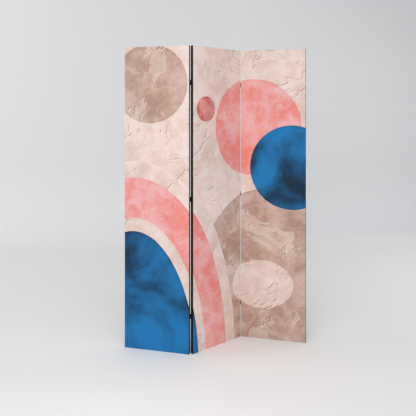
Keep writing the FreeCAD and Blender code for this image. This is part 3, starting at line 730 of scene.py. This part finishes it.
class DIVIDER_OT_staples(bpy.types.Operator):
    """Set rows of staples round the back of each panel"""

    bl_idname = "divider.staples"
    bl_label = "Staples"
    sockets = {
        "Float": ("Crown", "Leg", "Wire Thickness", "Wire Width", "Corner Radius", "Edge Distance",
                  "End Distance", "Panel Width", "Panel Height"),
        "Int": ("Stile Staples", "Rail Staples"),
        "Material": ("Wire",),
    }

    def execute(self, context):
        sizes = context.scene.divider_staples
        wire = galvanised_wire(sizes)
        rows, inputs = self.staple_rows()
        for panel in PANELS:
            place = PanelPlace(panel)
            name = f"{panel}_staple_rows"
            holder = bpy.data.objects.new(name, bpy.data.meshes.new(f"{name}_start"))
            context.scene.collection.objects.link(holder)
            modifier = holder.modifiers.new("Staple rows", "NODES")
            modifier.node_group = rows
            values = {"Crown": sizes.crown, "Leg": sizes.leg, "Wire Thickness": sizes.wire_thickness,
                      "Wire Width": sizes.wire_width, "Corner Radius": sizes.corner_radius,
                      "Edge Distance": sizes.edge_distance, "End Distance": sizes.end_distance,
                      "Stile Staples": sizes.stile_count, "Rail Staples": sizes.rail_count,
                      "Panel Width": place.width, "Panel Height": place.height, "Wire": wire}
            for label, value in values.items():
                modifier[inputs[label]] = value
            context.view_layer.update()
            made = holder.evaluated_get(context.evaluated_depsgraph_get())
            mesh = bpy.data.meshes.new_from_object(made)
            mesh.name = name
            bpy.data.objects.remove(holder)
            mesh.transform(place.rear)
            make_piece(name, mesh, [wire], panel, [f"{panel}_staples"])
        return {"FINISHED"}

    def staple_rows(self):
        """Node tree of the rows. Returns it with the identifiers of its inputs by name."""
        tree = bpy.data.node_groups.new("Staple rows", "GeometryNodeTree")
        tree.interface.new_socket(name="Geometry", in_out="OUTPUT", socket_type="NodeSocketGeometry")
        inputs = {}
        for kind, labels in self.sockets.items():
            for label in labels:
                made = tree.interface.new_socket(name=label, in_out="INPUT", socket_type=f"NodeSocket{kind}")
                inputs[label] = made.identifier
        given = add(tree, "NodeGroupInput").outputs
        staple = self.one_staple(tree, given)

        # The stiles' rows run up the whole panel, the rails' rows between their end distances
        spacing = maths(tree, "DIVIDE", given["Panel Height"], given["Stile Staples"])
        lowest = maths(tree, "MULTIPLY", spacing, 0.5)
        rise = add(tree, "CombineXYZ", {"Z": spacing})
        across = maths(tree, "MULTIPLY_ADD", given["End Distance"], -2.0, given["Panel Width"])
        gaps = maths(tree, "SUBTRACT", given["Rail Staples"], 1.0)
        stride = maths(tree, "DIVIDE", across, gaps)
        run = add(tree, "CombineXYZ", {"X": stride})
        rows = []
        for far in (False, True):
            x = z = given["Edge Distance"]
            if far:
                x = maths(tree, "SUBTRACT", given["Panel Width"], x)
                z = maths(tree, "SUBTRACT", given["Panel Height"], z)
            start = add(tree, "CombineXYZ", {"X": x, "Z": lowest})
            stile = add(tree, "GeometryNodeMeshLine", {"Count": given["Stile Staples"],
                                                       "Start Location": start, "Offset": rise})
            rows.append(add(tree, "GeometryNodeInstanceOnPoints", {
                "Points": stile, "Instance": staple, "Rotation": (0.0, math.pi / 2, 0.0)}))
            start = add(tree, "CombineXYZ", {"X": given["End Distance"], "Z": z})
            rail = add(tree, "GeometryNodeMeshLine", {"Count": given["Rail Staples"],
                                                      "Start Location": start, "Offset": run})
            rows.append(add(tree, "GeometryNodeInstanceOnPoints", {"Points": rail, "Instance": staple}))
        joined = add(tree, "GeometryNodeJoinGeometry", [rows])
        real = add(tree, "GeometryNodeRealizeInstances", [joined])
        finished = add(tree, "GeometryNodeSetMaterial", {"Geometry": real, "Material": given["Wire"]})
        add(tree, "NodeGroupOutput", [finished])
        return tree, inputs

    def one_staple(self, tree, given):
        """Nodes of one staple: four points bent into leg, crown and leg, rounded, with the wire's section."""
        line = add(tree, "GeometryNodeCurvePrimitiveLine", {"End": (1.0, 0.0, 0.0)})
        points = add(tree, "GeometryNodeResampleCurve", {"Curve": line, "Count": 4})
        index = add(tree, "GeometryNodeInputIndex")
        place = maths(tree, "SUBTRACT", index, 1.5)
        side = maths(tree, "SIGN", place)
        span = maths(tree, "SUBTRACT", given["Crown"], given["Wire Thickness"])
        half = maths(tree, "MULTIPLY", span, 0.5)
        x = maths(tree, "MULTIPLY", side, half)
        reach = maths(tree, "ABSOLUTE", place)
        tip = maths(tree, "GREATER_THAN", reach, 1.0)
        over = maths(tree, "MULTIPLY", given["Wire Thickness"], -0.5)
        down = maths(tree, "SUBTRACT", given["Leg"], over)
        y = maths(tree, "MULTIPLY_ADD", tip, down, over)
        spot = add(tree, "CombineXYZ", {"X": x, "Y": y})
        bent = add(tree, "GeometryNodeSetPosition", {"Geometry": points, "Position": spot})
        rounded = add(tree, "GeometryNodeFilletCurve", {"Curve": bent, "Radius": given["Corner Radius"],
                                                        "Count": 3}, mode="POLY")
        section = add(tree, "GeometryNodeCurvePrimitiveQuadrilateral", {
            "Width": given["Wire Width"], "Height": given["Wire Thickness"]})
        return add(tree, "GeometryNodeCurveToMesh", {"Curve": rounded, "Profile Curve": section,
                                                     "Fill Caps": True})


def finish_nodes(names, material):
    """Give CAD nodes a material in place of the plain one that they came with."""
    for name in names:
        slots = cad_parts[name].material_slots
        if not slots:
            raise RuntimeError(f"{name} has no material slot")
        for slot in slots:
            slot.material = material


class DIVIDER_OT_timber(bpy.types.Operator):
    """Finish the laths as planed pine and the dowels as turned beech"""

    bl_idname = "divider.timber"
    bl_label = "Timber"

    def execute(self, context):
        sizes = context.scene.divider_timber
        for panel in PANELS:
            turn = PanelPlace(panel).turn
            upright = planed_pine(sizes, f"Planed pine upright {panel}", turn, True)
            level = planed_pine(sizes, f"Planed pine level {panel}", turn, False)
            finish_nodes(nodes_of(panel, STILES), upright)
            finish_nodes(nodes_of(panel, END_RAILS + CROSS_RAILS), level)
            finish_nodes([f"{panel}_dowels"], turned_beech(sizes, f"Turned beech {panel}", turn))
        return {"FINISHED"}


class DIVIDER_OT_hinges(bpy.types.Operator):
    """Finish the hinges, their pins and their screws as black lacquered steel"""

    bl_idname = "divider.hinges"
    bl_label = "Hinges"

    def execute(self, context):
        steel = lacquered_steel(context.scene.divider_hinges)
        finish_nodes([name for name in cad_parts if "hinge" in name], steel)
        return {"FINISHED"}


class DIVIDER_OT_studio(bpy.types.Operator):
    """Set up the seamless paper, the soft lights and the camera"""

    bl_idname = "divider.studio"
    bl_label = "Studio"

    def execute(self, context):
        sizes = context.scene.divider_studio
        scene = context.scene
        scene.view_settings.view_transform = "Standard"
        self.paper(scene, sizes)
        self.air(scene, sizes)
        # Each light's name, its place, the point that it is aimed at, its width and its power
        self.light(scene, "Overhead", (-0.4, -1.7, 2.3), (-0.4, -1.6, 0.0), 1.1, sizes.overhead)
        self.light(scene, "Wash", (-4.5, 0.6, 3.2), (-1.4, 3.4, 1.2), 2.4, sizes.wash)
        self.light(scene, "Front", (-0.9, -5.6, 2.6), (0.0, 0.0, 0.9), 2.4, sizes.front)
        self.light(scene, "Side", (2.8, 1.0, 2.2), (1.6, 2.2, 0.0), 1.2, sizes.side)
        camera = bpy.data.objects.new("Camera", bpy.data.cameras.new("Camera"))
        scene.collection.objects.link(camera)
        camera.data.lens = sizes.lens
        camera.data.sensor_width = 36
        camera.data.shift_y = sizes.shift
        camera.location = sizes.place
        camera.rotation_euler = (math.pi / 2, 0.0, -sizes.aim)
        scene.camera = camera
        return {"FINISHED"}

    def paper(self, scene, sizes):
        """Seamless paper that lies flat under the divider and sweeps up behind it."""
        # Level from front by way of near to start, then up round a bend and on to the top
        front, near, start, radius, top, half_width = -40.0, -4.0, 2.6, 0.8, 7.0, 40.0
        steps = 24
        profile = [(front, 0.0), (near, 0.0)]
        for k in range(steps + 1):
            angle = math.pi / 2 * k / steps
            profile.append((start + radius * math.sin(angle), radius - radius * math.cos(angle)))
        profile.append((start + radius, top))
        points = [(x, y, z) for y, z in profile for x in (-half_width, half_width)]
        cells = [(2 * k, 2 * k + 1, 2 * k + 3, 2 * k + 2) for k in range(len(profile) - 1)]
        mesh = bpy.data.meshes.new("Seamless paper")
        mesh.from_pydata(points, [], cells)
        mesh.polygons.foreach_set("use_smooth", [True] * len(cells))
        mesh.materials.append(studio_paper(sizes))
        sheet = bpy.data.objects.new("Seamless_paper", mesh)
        scene.collection.objects.link(sheet)

    def air(self, scene, sizes):
        """Even light from all round."""
        world = bpy.data.worlds.new("Studio air")
        world.use_nodes = True
        tree = world.node_tree
        tree.nodes.clear()
        glow = add(tree, "Background", {"Color": sizes.air, "Strength": sizes.air_strength})
        add(tree, "OutputWorld", {"Surface": glow})
        scene.world = world

    def light(self, scene, name, place, target, width, watts):
        """Square soft light aimed at a point."""
        lamp = bpy.data.lights.new(name, "AREA")
        lamp.size = width
        lamp.energy = watts
        holder = bpy.data.objects.new(name, lamp)
        scene.collection.objects.link(holder)
        holder.visible_camera = False
        holder.location = place
        holder.rotation_euler = (Vector(target) - Vector(place)).to_track_quat("-Z", "Y").to_euler()


# The operators in the order in which they run, each with the scene's name for its settings and their group
STEPS = (
    (DIVIDER_OT_studio, "divider_studio", DividerStudio),
    (DIVIDER_OT_canvases, "divider_canvas", DividerCanvas),
    (DIVIDER_OT_back_cloths, "divider_back_cloth", DividerBackCloth),
    (DIVIDER_OT_staples, "divider_staples", DividerStaples),
    (DIVIDER_OT_timber, "divider_timber", DividerTimber),
    (DIVIDER_OT_hinges, "divider_hinges", DividerHinges),
)


class DIVIDER_PT_sidebar(bpy.types.Panel):
    """Lists the divider's pieces in the sidebar"""

    bl_idname = "DIVIDER_PT_sidebar"
    bl_label = "Folding room divider"
    bl_space_type = "VIEW_3D"
    bl_region_type = "UI"
    bl_category = "Divider"

    def draw(self, context):
        for operator, name, group in STEPS:
            box = self.layout.box()
            box.operator(operator.bl_idname)
            for setting in group.bl_rna.properties.keys():
                if setting not in ("rna_type", "name"):
                    box.prop(getattr(context.scene, name), setting)


CLASSES = [group for _, _, group in STEPS] + [operator for operator, _, _ in STEPS] + [DIVIDER_PT_sidebar]


def register():
    for kind in CLASSES:
        bpy.utils.register_class(kind)
    for _, name, group in STEPS:
        setattr(bpy.types.Scene, name, PointerProperty(type=group))


def unregister():
    for _, name, _ in STEPS:
        delattr(bpy.types.Scene, name)
    for kind in reversed(CLASSES):
        bpy.utils.unregister_class(kind)


def main():
    """Make every piece in order."""
    register()
    bpy.ops.divider.studio()
    bpy.ops.divider.canvases()
    bpy.ops.divider.back_cloths()
    bpy.ops.divider.staples()
    bpy.ops.divider.timber()
    bpy.ops.divider.hinges()


if __name__ == "__main__":
    main()
